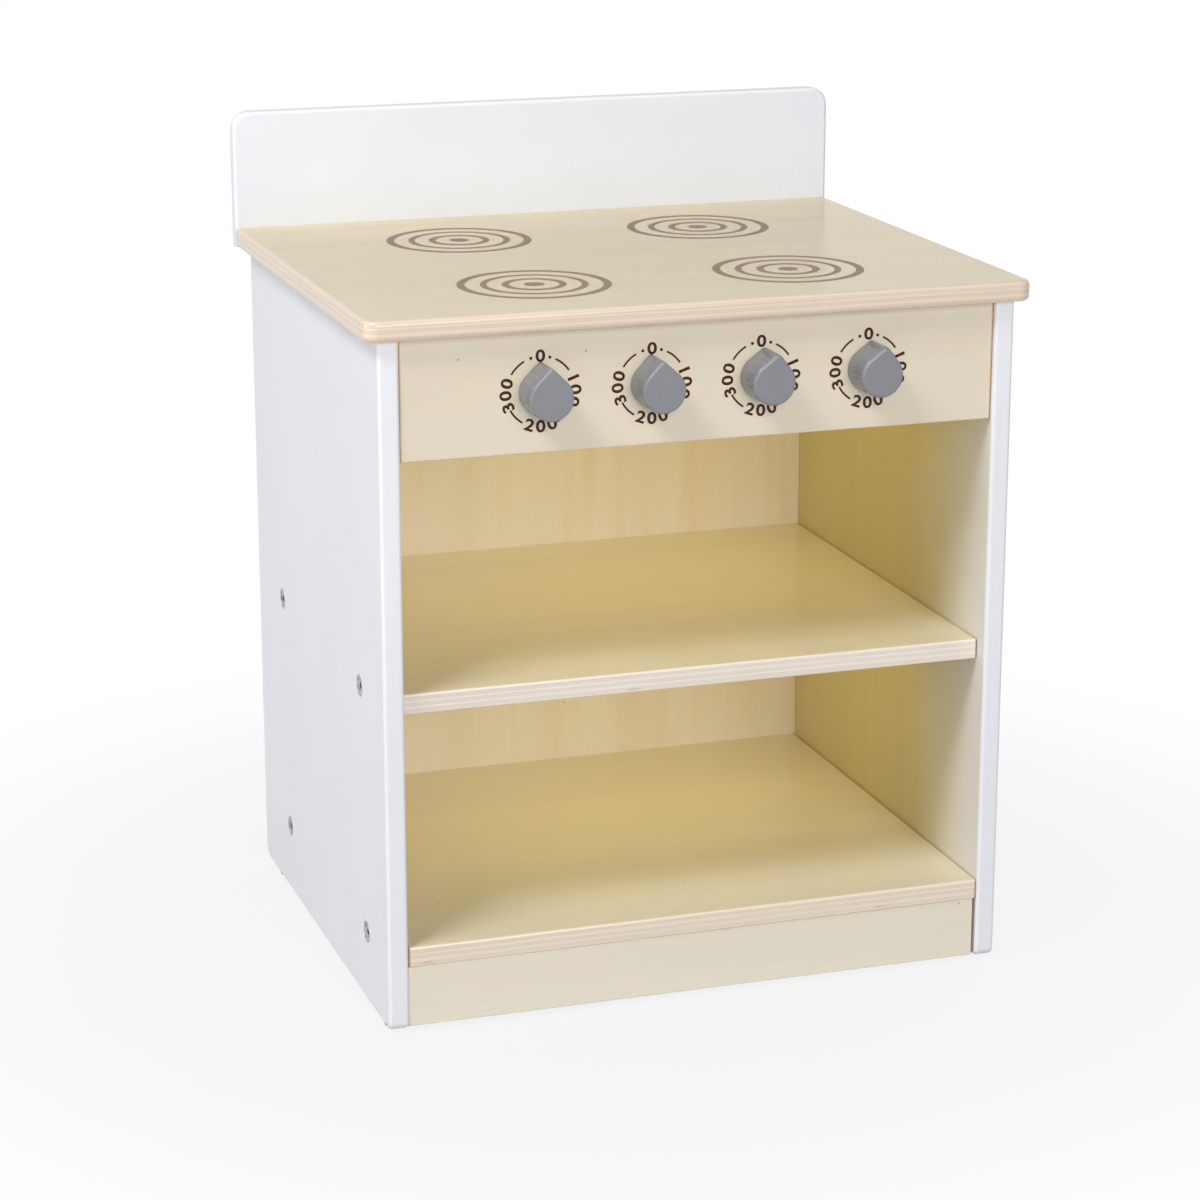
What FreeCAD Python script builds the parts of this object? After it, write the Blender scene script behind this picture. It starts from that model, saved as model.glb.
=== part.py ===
import FreeCAD, Part
import Sketcher
import math
import os
import re

# Wooden toy stove: plywood boards bolted, dowelled and cammed together, with four turning knobs.
# Millimetres. +Z is up, the knobs face -Y, and the origin is under the middle of the whole stove's box.

KNOB_NAMES = ("far_left", "mid_left", "mid_right", "far_right")
SPLASH_SCREWS = 4
NAILS_IN_A_ROW = 3
TOE_DOWELS = 3
SOCKET_SIDES = 6

SIZES = {
    # Carcass: two side panels, seen from the front
    "carcass_width": 437,
    "side_thickness": 14,
    "side_depth": 361,
    "side_height": 465,
    "side_back_corner": 12,
    "side_front_corner": 5,
    "side_edge_round": 2.5,
    # Counter
    "counter_side_overhang": 10,
    "counter_front_overhang": 8,
    "counter_thickness": 14,
    "counter_corner_radius": 10,
    "counter_edge_round": 3.5,
    # Backsplash, from the counter's underside up
    "splash_thickness": 12,
    "splash_height": 97,
    "splash_corner_radius": 13,
    "splash_edge_round": 2.5,
    # Control panel, set back from the side panels' front edges
    "control_recess": 3,
    "control_height": 80,
    "control_thickness": 14,
    "control_edge_round": 1,
    # Shelves, tops measured from the side panels' bottom edges
    "middle_shelf_recess": 12,
    "middle_shelf_top": 228.5,
    "bottom_shelf_recess": 1,
    "bottom_shelf_top": 57,
    "shelf_thickness": 14,
    "shelf_corner_radius": 2,
    "shelf_edge_round": 1.5,
    # Toe board under the bottom shelf, against the left side panel
    "toe_recess": 2,
    "toe_thickness": 14,
    "toe_floor_gap": 1,
    "toe_right_gap": 2,
    "toe_edge_round": 0.8,
    # Back panel, held in a groove of each side panel
    "back_panel_thickness": 6,
    "back_panel_inset": 9.5,
    "groove_depth": 7,
    "groove_end_gap": 0.5,
    "groove_clearance": 0.1,
    # Knobs: round with one pointed corner, on a row along the control panel
    "knob_radius": 14.6,
    "knob_tip_reach": 20.4,
    "knob_depth": 25,
    "knob_distance": 75.3,
    "knob_row_offset": 2.2,
    "knob_running_gap": 0.15,
    "far_left_turn": 0,
    "mid_left_turn": -3,
    "mid_right_turn": 8,
    "far_right_turn": 8,
    "far_left_tip_round": 2,
    "mid_left_tip_round": 2,
    "mid_right_tip_round": 3.4,
    "far_right_tip_round": 3.4,
    "far_left_edge_round": 1.2,
    "mid_left_edge_round": 1.2,
    "mid_right_edge_round": 1.8,
    "far_right_edge_round": 2,
    # Knob screws and their washers
    "screw_diameter": 4,
    "screw_grip": 16,
    "screw_head_diameter": 8,
    "screw_head_height": 2.6,
    "screw_slot_width": 1,
    "screw_slot_depth": 1.1,
    "front_washer_diameter": 14,
    "front_washer_thickness": 0.5,
    "rear_washer_diameter": 12,
    "rear_washer_thickness": 1,
    "running_clearance": 0.08,
    # Shelf bolts with dished socket heads, screwed into barrel nuts
    "bolt_diameter": 6,
    "bolt_head_diameter": 15,
    "bolt_head_thickness": 2.4,
    "bolt_head_chamfer": 0.6,
    "bolt_dish_radius": 6,
    "bolt_dish_depth": 0.9,
    "bolt_dish_floor_radius": 2.7,
    "bolt_socket_radius": 2.4,
    "bolt_socket_depth": 3.6,
    "bolt_tail": 3,
    "middle_bolt_front_setback": 63,
    "middle_bolt_back_setback": 76.4,
    "bottom_bolt_front_setback": 56.3,
    "bottom_bolt_back_setback": 83.1,
    "nut_diameter": 10,
    "nut_from_end": 34,
    "nut_cover": 2,
    # Dowels
    "dowel_diameter": 8,
    "dowel_chamfer": 0.8,
    "dowel_insert": 20,
    "dowel_cover": 5,
    "control_dowel_edge": 20,
    "counter_dowel_front_setback": 105,
    "counter_dowel_back_setback": 116,
    "toe_dowel_edge": 60,
    # Cam fittings between the side panels and the counter
    "cam_front_setback": 55,
    "cam_back_setback": 66,
    "cam_drop": 34,
    "cam_disc_diameter": 15,
    "cam_disc_cover": 2,
    "cam_bolt_diameter": 6,
    "cam_bolt_head_diameter": 7,
    "cam_bolt_head_height": 5,
    "cam_bolt_cover": 4,
    "cam_slot_clearance": 0.3,
    # Backsplash screws, from behind into the counter's back edge
    "splash_screw_diameter": 4,
    "splash_screw_head_diameter": 8,
    "splash_screw_head_height": 3,
    "splash_screw_bite": 26,
    "splash_screw_edge": 40,
    # Nails through the back panel into the shelves' back edges
    "nail_diameter": 1.6,
    "nail_head_diameter": 4,
    "nail_head_height": 0.7,
    "nail_bite": 14,
    "nail_edge": 40,
    # Floor glides nailed under the side panels
    "glide_height": 3,
    "glide_diameter": 11,
    "glide_round": 1.6,
    "glide_front_setback": 18,
    "glide_back_setback": 41,
    "glide_floor": 1,
    "glide_nail_diameter": 2,
    "glide_nail_bite": 13,
    # Fits shared by everything that sits in a hole
    "hole_clearance": 0.05,
    "hole_end_gap": 0.5,
}

# Sizes that follow from the driving ones.
DERIVED = {
    "inner_width": "carcass_width - 2 * side_thickness",
    "counter_width": "carcass_width + 2 * counter_side_overhang",
    "counter_depth": "counter_front_overhang + side_depth",
    "back_panel_front": "side_depth - back_panel_inset - back_panel_thickness",
    "bottom_shelf_underside": "bottom_shelf_top - shelf_thickness",
    "middle_shelf_underside": "middle_shelf_top - shelf_thickness",
    "shelf_rise": "middle_shelf_top - bottom_shelf_top",
    "toe_height": "bottom_shelf_underside - toe_floor_gap",
    "back_panel_height": "side_height - bottom_shelf_underside",
    "knob_reach": "front_washer_thickness + knob_running_gap + knob_depth",
    "knob_hub": "control_recess - front_washer_thickness - knob_running_gap",
    "knob_row_middle": "side_height - control_height / 2",
    "knob_row": f"{len(KNOB_NAMES) - 1} * knob_distance",
    "first_knob": "knob_row_offset - knob_row / 2",
    "middle_bolt_row": "side_depth - middle_bolt_front_setback - middle_bolt_back_setback",
    "bottom_bolt_row": "side_depth - bottom_bolt_front_setback - bottom_bolt_back_setback",
    "middle_dowel_setback": "middle_bolt_front_setback + middle_bolt_row / 2",
    "bottom_dowel_setback": "bottom_bolt_front_setback + bottom_bolt_row / 2",
    "middle_shelf_middle": "middle_shelf_top - shelf_thickness / 2",
    "bottom_shelf_middle": "bottom_shelf_top - shelf_thickness / 2",
    "nut_length": "shelf_thickness - 2 * nut_cover",
    "bolt_hole_depth": "nut_from_end + nut_diameter / 2 + bolt_tail + hole_end_gap",
    "side_dowel_depth": "side_thickness - dowel_cover",
    "shelf_dowel_depth": "shelf_thickness - dowel_cover",
    "counter_hole_depth": "counter_thickness - dowel_cover",
    "dowel_hole": "dowel_diameter + 2 * hole_clearance",
    "bolt_hole": "bolt_diameter + 2 * hole_clearance",
    "screw_bore": "screw_diameter + 2 * running_clearance",
    "control_dowel_rise": "control_height - 2 * control_dowel_edge",
    "counter_dowel_row": "side_depth - counter_dowel_front_setback - counter_dowel_back_setback",
    "toe_dowel_row": "inner_width - 2 * toe_dowel_edge",
    "cam_row": "side_depth - cam_front_setback - cam_back_setback",
    "cam_disc_thickness": "side_thickness - cam_disc_cover",
    "cam_bolt_bite": "counter_thickness - cam_bolt_cover",
    "cam_slot": "cam_bolt_head_diameter + 2 * cam_slot_clearance",
    "splash_screw_row": "counter_width - 2 * splash_screw_edge",
    "nail_row": "inner_width - 2 * nail_edge",
    "glide_row": "side_depth - glide_front_setback - glide_back_setback",
    "stove_middle": "(control_recess - knob_reach + side_depth + splash_thickness) / 2",
}

EVERYWHERE = "ThroughAll"
TOLERANCE = 1e-4
# Where a sketch's lines start out, before its constraints set them.
START = 10.0

doc = FreeCAD.newDocument("toy_stove")
sheet = doc.addObject("Spreadsheet::Sheet", "Dims")
for row, (alias, value) in enumerate(SIZES.items(), start=1):
    sheet.set(f"B{row}", str(value))
    sheet.setAlias(f"B{row}", alias)
doc.recompute()

sub_parts = []


def formula(text):
    """Write a size formula in terms of the sheet's cells."""

    def cell(match):
        word = match.group()
        if word in SIZES:
            return f"Dims.{word}"
        if word in DERIVED:
            return f"({formula(DERIVED[word])})"
        return word

    return re.sub(r"[a-z][a-z_]*", cell, text)


def bind(thing, path, text):
    thing.setExpression(path, formula(text))


def new_body(label, x, y, z):
    """Start a sub-part at a place given from the floor, the middle and the side panels' front edges."""
    body = doc.addObject("PartDesign::Body", label)
    body.Label = label
    bind(body, "Placement.Base.x", x)
    bind(body, "Placement.Base.y", f"{y} - stove_middle")
    bind(body, "Placement.Base.z", z)
    sub_parts.append(body)
    return body


def origin_part(body, role):
    return next(part for part in body.Origin.OriginFeatures if part.Role == role)


def new_sketch(body, name, plane, offset="0"):
    sketch = body.newObject("Sketcher::SketchObject", name)
    sketch.AttachmentSupport = [(origin_part(body, plane), "")]
    sketch.MapMode = "FlatFace"
    bind(sketch, "AttachmentOffset.Base.z", offset)
    return sketch


def fix(sketch, name, constraint, text):
    """Add a named driving constraint whose value follows a formula."""
    index = sketch.addConstraint(constraint)
    sketch.renameConstraint(index, name)
    bind(sketch, f"Constraints.{name}", text)


def rectangle(sketch, low_across, high_across, low_up, high_up):
    corners = [(0, 0), (START, 0), (START, START), (0, START)]
    points = [FreeCAD.Vector(across, up, 0) for across, up in corners]
    for start, end in zip(points, points[1:] + points[:1]):
        sketch.addGeometry(Part.LineSegment(start, end))
    for line in range(len(corners)):
        sketch.addConstraint(Sketcher.Constraint("Coincident", line, 2, (line + 1) % len(corners), 1))
        direction = "Vertical" if line % 2 else "Horizontal"
        sketch.addConstraint(Sketcher.Constraint(direction, line))
    fix(sketch, "low_across", Sketcher.Constraint("DistanceX", -1, 1, 0, 1, 0.0), low_across)
    fix(sketch, "low_up", Sketcher.Constraint("DistanceY", -1, 1, 0, 1, 0.0), low_up)
    fix(sketch, "high_across", Sketcher.Constraint("DistanceX", -1, 1, 2, 1, START), high_across)
    fix(sketch, "high_up", Sketcher.Constraint("DistanceY", -1, 1, 2, 1, START), high_up)


def circle(sketch, across, up, diameter):
    start = Part.Circle(FreeCAD.Vector(START, START, 0), FreeCAD.Vector(0, 0, 1), START)
    index = sketch.addGeometry(start)
    fix(sketch, f"hole_{index}_size", Sketcher.Constraint("Diameter", index, 2 * START), diameter)
    fix(sketch, f"hole_{index}_across", Sketcher.Constraint("DistanceX", -1, 1, index, 3, START), across)
    fix(sketch, f"hole_{index}_up", Sketcher.Constraint("DistanceY", -1, 1, index, 3, START), up)


def pad(body, name, sketch, length, backwards=False):
    feature = body.newObject("PartDesign::Pad", name)
    feature.Profile = sketch
    feature.Reversed = backwards
    bind(feature, "Length", length)
    doc.recompute()
    return feature


def pocket(body, name, sketch, depth, backwards=False):
    """Cut a sketch into the body and make sure that it took material away."""
    before = body.Tip.Shape.Volume
    feature = body.newObject("PartDesign::Pocket", name)
    feature.Profile = sketch
    feature.Reversed = backwards
    if depth == EVERYWHERE:
        feature.Type = EVERYWHERE
    else:
        bind(feature, "Length", depth)
    doc.recompute()
    if feature.Shape.Volume >= before - TOLERANCE:
        raise RuntimeError(f"{body.Label}: {name} cuts nothing")
    return feature


def drill(body, name, plane, offset, centres, diameter, depth, backwards=False):
    """Drill round holes from a plane of the body."""
    sketch = new_sketch(body, f"{name}_sketch", plane, offset)
    for across, up in centres:
        circle(sketch, across, up, diameter)
    return pocket(body, name, sketch, depth, backwards)


def rod(body, name, plane, offset, diameter, length, backwards=False):
    """Add a round rod on the body's own axis, from a plane."""
    sketch = new_sketch(body, f"{name}_sketch", plane, offset)
    circle(sketch, "0", "0", diameter)
    return pad(body, name, sketch, length, backwards)


def chosen_edges(feature, wanted):
    edges = feature.Shape.Edges
    return [f"Edge{number}" for number, edge in enumerate(edges, start=1) if wanted(edge.BoundBox)]


def soften(body, name, kind, size_property, wanted, size):
    """Fillet or chamfer the edges of the latest feature whose boxes are wanted."""
    base = body.Tip
    feature = body.newObject(f"PartDesign::{kind}", name)
    feature.Base = (base, chosen_edges(base, wanted))
    bind(feature, size_property, size)
    doc.recompute()
    return feature


def fillet(body, name, wanted, radius):
    return soften(body, name, "Fillet", "Radius", wanted, radius)


def chamfer(body, name, wanted, size):
    return soften(body, name, "Chamfer", "Size", wanted, size)


def repeat(body, first_axis, first_length, first_count,
           second_axis=None, second_length=None, second_count=1):
    """Copy the whole body along one or two axes, as separate solids."""
    pattern = body.newObject("PartDesign::LinearPattern", f"{body.Label}_row")
    pattern.TransformMode = "Whole shape"
    pattern.Direction = (origin_part(body, first_axis), [""])
    bind(pattern, "Length", first_length)
    pattern.Occurrences = first_count
    if second_axis:
        pattern.Direction2 = (origin_part(body, second_axis), [""])
        bind(pattern, "Length2", second_length)
        pattern.Occurrences2 = second_count
    body.Tip = pattern
    doc.recompute()


def mirror_across(body):
    """Copy the whole body to the other side of the stove, as separate solids."""
    mirror = body.newObject("PartDesign::Mirrored", f"{body.Label}_pair")
    mirror.TransformMode = "Whole shape"
    mirror.MirrorPlane = (origin_part(body, "YZ_Plane"), [""])
    body.Tip = mirror
    doc.recompute()


def spread(count, first, row):
    """Evenly spaced places along a row, as formulas."""
    return [f"{first} + {number} * {row} / {count - 1}" for number in range(count)]


def same(first, second):
    return abs(first - second) < TOLERANCE


def side_panel(label, hand):
    """A side panel: hand is 1 for the left one, whose inner face looks along +X, and -1 for the right."""
    right = hand < 0
    body = new_body(label, f"{-hand} * carcass_width / 2", "0", "glide_height")
    outline = new_sketch(body, "outline", "YZ_Plane")
    rectangle(outline, "0", "side_depth", "0", "side_height")
    pad(body, "board", outline, "side_thickness", right)
    box = body.Tip.Shape.BoundBox

    def bottom_corner(y):
        return lambda edge: same(edge.YMin, y) and same(edge.ZMax, 0) and same(edge.YLength, 0)

    fillet(body, "back_corner", bottom_corner(box.YMax), "side_back_corner")
    fillet(body, "front_corner", bottom_corner(0), "side_front_corner")
    fillet(body, "rounded_edges", lambda edge: same(edge.XLength, 0) and edge.ZMin < box.ZMax - TOLERANCE,
           "side_edge_round")

    inner = f"{hand} * side_thickness"
    groove = new_sketch(body, "groove_sketch", "YZ_Plane", inner)
    rectangle(groove, "back_panel_front - groove_clearance",
              "back_panel_front + back_panel_thickness + groove_clearance",
              "bottom_shelf_underside - groove_clearance", "side_height")
    pocket(body, "groove", groove, "groove_depth", right)

    bolts = [
        ("middle_bolt_front_setback", "middle_shelf_middle"),
        ("side_depth - middle_bolt_back_setback", "middle_shelf_middle"),
        ("bottom_bolt_front_setback", "bottom_shelf_middle"),
        ("side_depth - bottom_bolt_back_setback", "bottom_shelf_middle"),
    ]
    drill(body, "bolt_holes", "YZ_Plane", "0", bolts, "bolt_hole", "side_thickness", not right)
    drill(body, "bolt_head_seats", "YZ_Plane", "0", bolts, "bolt_head_diameter + 2 * hole_clearance",
          "bolt_head_thickness", not right)

    control_middle = "control_recess + control_thickness / 2"
    dowels = [
        ("middle_dowel_setback", "middle_shelf_middle"),
        ("bottom_dowel_setback", "bottom_shelf_middle"),
        (control_middle, "side_height - control_dowel_edge"),
        (control_middle, "side_height - control_height + control_dowel_edge"),
    ]
    drill(body, "inner_dowel_holes", "YZ_Plane", inner, dowels, "dowel_hole", "side_dowel_depth", right)

    cam_places = ("cam_front_setback", "side_depth - cam_back_setback")
    cams = [(place, "side_height - cam_drop") for place in cam_places]
    drill(body, "cam_holes", "YZ_Plane", inner, cams, "cam_disc_diameter + 2 * hole_clearance",
          "cam_disc_thickness", right)

    middle = f"{hand} * side_thickness / 2"
    cam_bolts = [(middle, place) for place in cam_places]
    drill(body, "cam_bolt_holes", "XY_Plane", "side_height", cam_bolts, "cam_slot", "cam_drop")
    dowel_places = ("counter_dowel_front_setback", "side_depth - counter_dowel_back_setback")
    top_dowels = [(middle, place) for place in dowel_places]
    drill(body, "top_dowel_holes", "XY_Plane", "side_height", top_dowels, "dowel_hole",
          "dowel_insert + hole_end_gap")
    nails = [(middle, "glide_front_setback"), (middle, "side_depth - glide_back_setback")]
    drill(body, "glide_nail_holes", "XY_Plane", "0", nails, "glide_nail_diameter + 2 * hole_clearance",
          "glide_nail_bite + hole_end_gap", True)


def counter_top():
    """The counter, rounded over all along its front and ends, square where the backsplash meets it."""
    body = new_body("counter_top", "0", "-counter_front_overhang", "glide_height + side_height")
    outline = new_sketch(body, "outline", "XY_Plane")
    rectangle(outline, "-counter_width / 2", "counter_width / 2", "0", "counter_depth")
    pad(body, "board", outline, "counter_thickness")
    box = body.Tip.Shape.BoundBox
    fillet(body, "front_corners", lambda edge: same(edge.YMax, 0) and same(edge.XLength, 0),
           "counter_corner_radius")
    fillet(body, "rounded_edges", lambda edge: same(edge.ZLength, 0) and edge.YMin < box.YMax - TOLERANCE,
           "counter_edge_round")

    beside = "(carcass_width - side_thickness) / 2"
    front = "counter_front_overhang"
    cams = []
    dowels = []
    for end in (f"-{beside}", beside):
        cams.append((end, f"{front} + cam_front_setback"))
        cams.append((end, "counter_depth - cam_back_setback"))
        dowels.append((end, f"{front} + counter_dowel_front_setback"))
        dowels.append((end, "counter_depth - counter_dowel_back_setback"))
    drill(body, "cam_bolt_holes", "XY_Plane", "0", cams, "cam_bolt_diameter + 2 * hole_clearance",
          "cam_bolt_bite", True)
    drill(body, "dowel_holes", "XY_Plane", "0", dowels, "dowel_hole", "counter_hole_depth", True)
    screws = splash_screw_places()
    drill(body, "screw_holes", "XZ_Plane", "-counter_depth", screws,
          "splash_screw_diameter + 2 * hole_clearance", "splash_screw_bite + hole_end_gap", True)


def splash_screw_places():
    across = spread(SPLASH_SCREWS, "splash_screw_edge - counter_width / 2", "splash_screw_row")
    return [(place, "counter_thickness / 2") for place in across]


def backsplash():
    """The backsplash, as wide as the counter and fixed to its back edge."""
    body = new_body("backsplash", "0", "side_depth", "glide_height + side_height")
    outline = new_sketch(body, "outline", "XZ_Plane")
    rectangle(outline, "-counter_width / 2", "counter_width / 2", "0", "splash_height")
    pad(body, "board", outline, "splash_thickness", True)
    box = body.Tip.Shape.BoundBox
    fillet(body, "top_corners", lambda edge: same(edge.ZMin, box.ZMax) and same(edge.XLength, 0),
           "splash_corner_radius")
    fillet(body, "rounded_edges", lambda edge: same(edge.YLength, 0), "splash_edge_round")
    screws = splash_screw_places()
    drill(body, "screw_holes", "XZ_Plane", "0", screws, "splash_screw_diameter + 2 * hole_clearance",
          EVERYWHERE)
    drill(body, "screw_head_seats", "XZ_Plane", "-splash_thickness", screws,
          "splash_screw_head_diameter + 2 * hole_clearance", "splash_screw_head_height", True)


def back_panel():
    """The thin back panel, from the bottom shelf's underside up to the counter."""
    body = new_body("back_panel", "0", "back_panel_front", "glide_height + bottom_shelf_underside")
    outline = new_sketch(body, "outline", "XZ_Plane")
    half = "inner_width / 2 + groove_depth - groove_end_gap"
    rectangle(outline, f"-({half})", half, "0", "back_panel_height")
    pad(body, "board", outline, "back_panel_thickness", True)
    nails = []
    for rise in ("0", "shelf_rise"):
        for across in nail_places():
            nails.append((across, f"shelf_thickness / 2 + {rise}"))
    drill(body, "nail_holes", "XZ_Plane", "0", nails, "nail_diameter + 2 * hole_clearance", EVERYWHERE)


def nail_places():
    return spread(NAILS_IN_A_ROW, "nail_edge - inner_width / 2", "nail_row")


def knob_places():
    return spread(len(KNOB_NAMES), "first_knob", "knob_row")


def control_panel():
    """The board that carries the knobs, dowelled between the side panels."""
    body = new_body("control_panel", "0", "control_recess", "glide_height + side_height - control_height")
    outline = new_sketch(body, "outline", "XZ_Plane")
    rectangle(outline, "-inner_width / 2", "inner_width / 2", "0", "control_height")
    pad(body, "board", outline, "control_thickness", True)
    fillet(body, "rounded_edges", lambda edge: same(edge.ZMax, 0) and edge.XLength > TOLERANCE,
           "control_edge_round")
    fillet(body, "eased_ends", lambda edge: same(edge.YMax, 0) and same(edge.XLength, 0), "control_edge_round")
    bores = [(across, "control_height / 2") for across in knob_places()]
    drill(body, "screw_bores", "XZ_Plane", "0", bores, "screw_bore", EVERYWHERE)
    dowels = [("control_thickness / 2", "control_dowel_edge"),
              ("control_thickness / 2", "control_height - control_dowel_edge")]
    depth = "dowel_insert + hole_end_gap"
    drill(body, "left_dowel_holes", "YZ_Plane", "-inner_width / 2", dowels, "dowel_hole", depth, True)
    drill(body, "right_dowel_holes", "YZ_Plane", "inner_width / 2", dowels, "dowel_hole", depth)


def shelf(level):
    """A shelf between the side panels, with a bolt and a barrel nut at each corner."""
    recess = f"{level}_shelf_recess"
    body = new_body(f"{level}_shelf", "0", recess, f"glide_height + {level}_shelf_underside")
    outline = new_sketch(body, "outline", "XY_Plane")
    rectangle(outline, "-inner_width / 2", "inner_width / 2", "0", f"back_panel_front - {recess}")
    pad(body, "board", outline, "shelf_thickness")
    box = body.Tip.Shape.BoundBox
    fillet(body, "front_corners", lambda edge: same(edge.YMax, 0) and same(edge.XLength, 0),
           "shelf_corner_radius")
    fillet(body, "rounded_edges", lambda edge: same(edge.ZLength, 0) and edge.YMin < box.YMax - TOLERANCE,
           "shelf_edge_round")

    middle = "shelf_thickness / 2"
    front_bolt = f"{level}_bolt_front_setback - {recess}"
    back_bolt = f"side_depth - {level}_bolt_back_setback - {recess}"
    bolts = [(front_bolt, middle), (back_bolt, middle)]
    dowels = [(f"{level}_dowel_setback - {recess}", middle)]
    dowel_depth = "dowel_insert + hole_end_gap"
    for end, offset, backwards in (("left", "-inner_width / 2", True), ("right", "inner_width / 2", False)):
        drill(body, f"{end}_bolt_holes", "YZ_Plane", offset, bolts, "bolt_hole", "bolt_hole_depth",
              backwards)
        drill(body, f"{end}_dowel_hole", "YZ_Plane", offset, dowels, "dowel_hole", dowel_depth, backwards)
    nut_across = "inner_width / 2 - nut_from_end"
    nuts = [(across, up) for across in (f"-({nut_across})", nut_across) for up in (front_bolt, back_bolt)]
    drill(body, "nut_holes", "XY_Plane", "0", nuts, "nut_diameter + 2 * hole_clearance",
          "shelf_thickness - nut_cover", True)
    nails = [(across, middle) for across in nail_places()]
    drill(body, "nail_holes", "XZ_Plane", f"{recess} - back_panel_front", nails,
          "nail_diameter + 2 * hole_clearance", "nail_bite + hole_end_gap", True)
    return body


def toe_board():
    """The board under the bottom shelf's front edge."""
    body = new_body("toe_board", "0", "toe_recess", "glide_height + toe_floor_gap")
    outline = new_sketch(body, "outline", "XZ_Plane")
    rectangle(outline, "-inner_width / 2", "inner_width / 2 - toe_right_gap", "0", "toe_height")
    pad(body, "board", outline, "toe_thickness", True)
    fillet(body, "rounded_edges", lambda edge: same(edge.YMax, 0), "toe_edge_round")
    drill(body, "dowel_holes", "XY_Plane", "toe_height", toe_dowel_places("toe_thickness / 2"), "dowel_hole",
          "dowel_insert + hole_end_gap")


def toe_dowel_places(up):
    places = spread(TOE_DOWELS, "toe_dowel_edge - inner_width / 2", "toe_dowel_row")
    return [(across, up) for across in places]


def dowels(label, x, y, z, axis, insert, *rows):
    """Chamfered dowels along an axis, each reaching by insert past the joint that it starts before."""
    plane = {"X": "YZ_Plane", "Z": "XY_Plane"}[axis]
    body = new_body(label, x, y, z)
    rod(body, "dowel", plane, "0", "dowel_diameter", insert)
    box = body.Tip.Shape.BoundBox
    length = box.XLength if axis == "X" else box.ZLength

    def rim(edge):
        along = edge.XLength if axis == "X" else edge.ZLength
        return along < length / 2

    chamfer(body, "lead_ins", rim, "dowel_chamfer")
    repeat(body, *rows)


def knob(name, across):
    """One knob: a round with a pointed corner, and the screw that it turns on."""
    height = "glide_height + knob_row_middle"
    body = new_body(f"knob_{name}", across, "knob_hub", height)
    outline = new_sketch(body, "outline", "XZ_Plane")
    radius = SIZES["knob_radius"]
    reach = SIZES["knob_tip_reach"]
    turn = math.acos(radius / reach)
    round_start = math.pi / 2 + turn
    round_end = math.pi * 5 / 2 - turn
    rim = Part.Circle(FreeCAD.Vector(0, 0, 0), FreeCAD.Vector(0, 0, 1), radius)
    arc = outline.addGeometry(Part.ArcOfCircle(rim, round_start, round_end))
    left = FreeCAD.Vector(radius * math.cos(round_start), radius * math.sin(round_start), 0)
    right = FreeCAD.Vector(radius * math.cos(round_end), radius * math.sin(round_end), 0)
    tip = FreeCAD.Vector(0, reach, 0)
    right_side = outline.addGeometry(Part.LineSegment(right, tip))
    left_side = outline.addGeometry(Part.LineSegment(tip, left))
    outline.addConstraint(Sketcher.Constraint("Coincident", arc, 3, -1, 1))
    outline.addConstraint(Sketcher.Constraint("Tangent", arc, 2, right_side, 1))
    outline.addConstraint(Sketcher.Constraint("Tangent", left_side, 2, arc, 1))
    outline.addConstraint(Sketcher.Constraint("Coincident", right_side, 2, left_side, 1))
    outline.addConstraint(Sketcher.Constraint("PointOnObject", right_side, 2, -2))
    fix(outline, "round_radius", Sketcher.Constraint("Radius", arc, radius), "knob_radius")
    fix(outline, "tip_reach", Sketcher.Constraint("DistanceY", -1, 1, right_side, 2, reach),
        "knob_tip_reach")
    pad(body, "block", outline, "knob_depth")
    front = body.Tip.Shape.BoundBox.YMin
    highest = body.Tip.Shape.BoundBox.ZMax
    fillet(body, "soft_tip", lambda edge: same(edge.ZMin, highest) and edge.YLength > TOLERANCE,
           f"{name}_tip_round")
    fillet(body, "soft_front", lambda edge: same(edge.YMax, front), f"{name}_edge_round")
    drill(body, "screw_hole", "XZ_Plane", "0", [("0", "0")], "screw_diameter + 2 * hole_clearance",
          "screw_grip + hole_end_gap", True)
    body.Placement.Rotation = FreeCAD.Rotation(FreeCAD.Vector(0, 1, 0), 1)
    bind(body, "Placement.Rotation.Angle", f"{name}_turn")

    screw = new_body(f"knob_screw_{name}", across, "knob_hub", height)
    behind = "2 * knob_running_gap + front_washer_thickness + control_thickness + rear_washer_thickness"
    rod(screw, "shank", "XZ_Plane", f"-({behind})", "screw_diameter", f"{behind} + screw_grip")
    rod(screw, "head", "XZ_Plane", f"-({behind})", "screw_head_diameter", "screw_head_height", True)
    slot = new_sketch(screw, "slot_sketch", "XZ_Plane", f"-({behind} + screw_head_height)")
    rectangle(slot, "-screw_head_diameter", "screw_head_diameter", "-screw_slot_width / 2",
              "screw_slot_width / 2")
    pocket(screw, "slot", slot, "screw_slot_depth", True)
    screw.Placement.Rotation = FreeCAD.Rotation(FreeCAD.Vector(0, 1, 0), 1)
    bind(screw, "Placement.Rotation.Angle", f"{name}_turn")


def washers(label, y, diameter, thickness):
    """A row of four washers round the knob screws."""
    body = new_body(label, "first_knob", y, "glide_height + knob_row_middle")
    rod(body, "disc", "XZ_Plane", "0", diameter, thickness, True)
    drill(body, "bore", "XZ_Plane", "0", [("0", "0")], "screw_bore", EVERYWHERE)
    repeat(body, "X_Axis", "knob_row", len(KNOB_NAMES))


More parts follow.
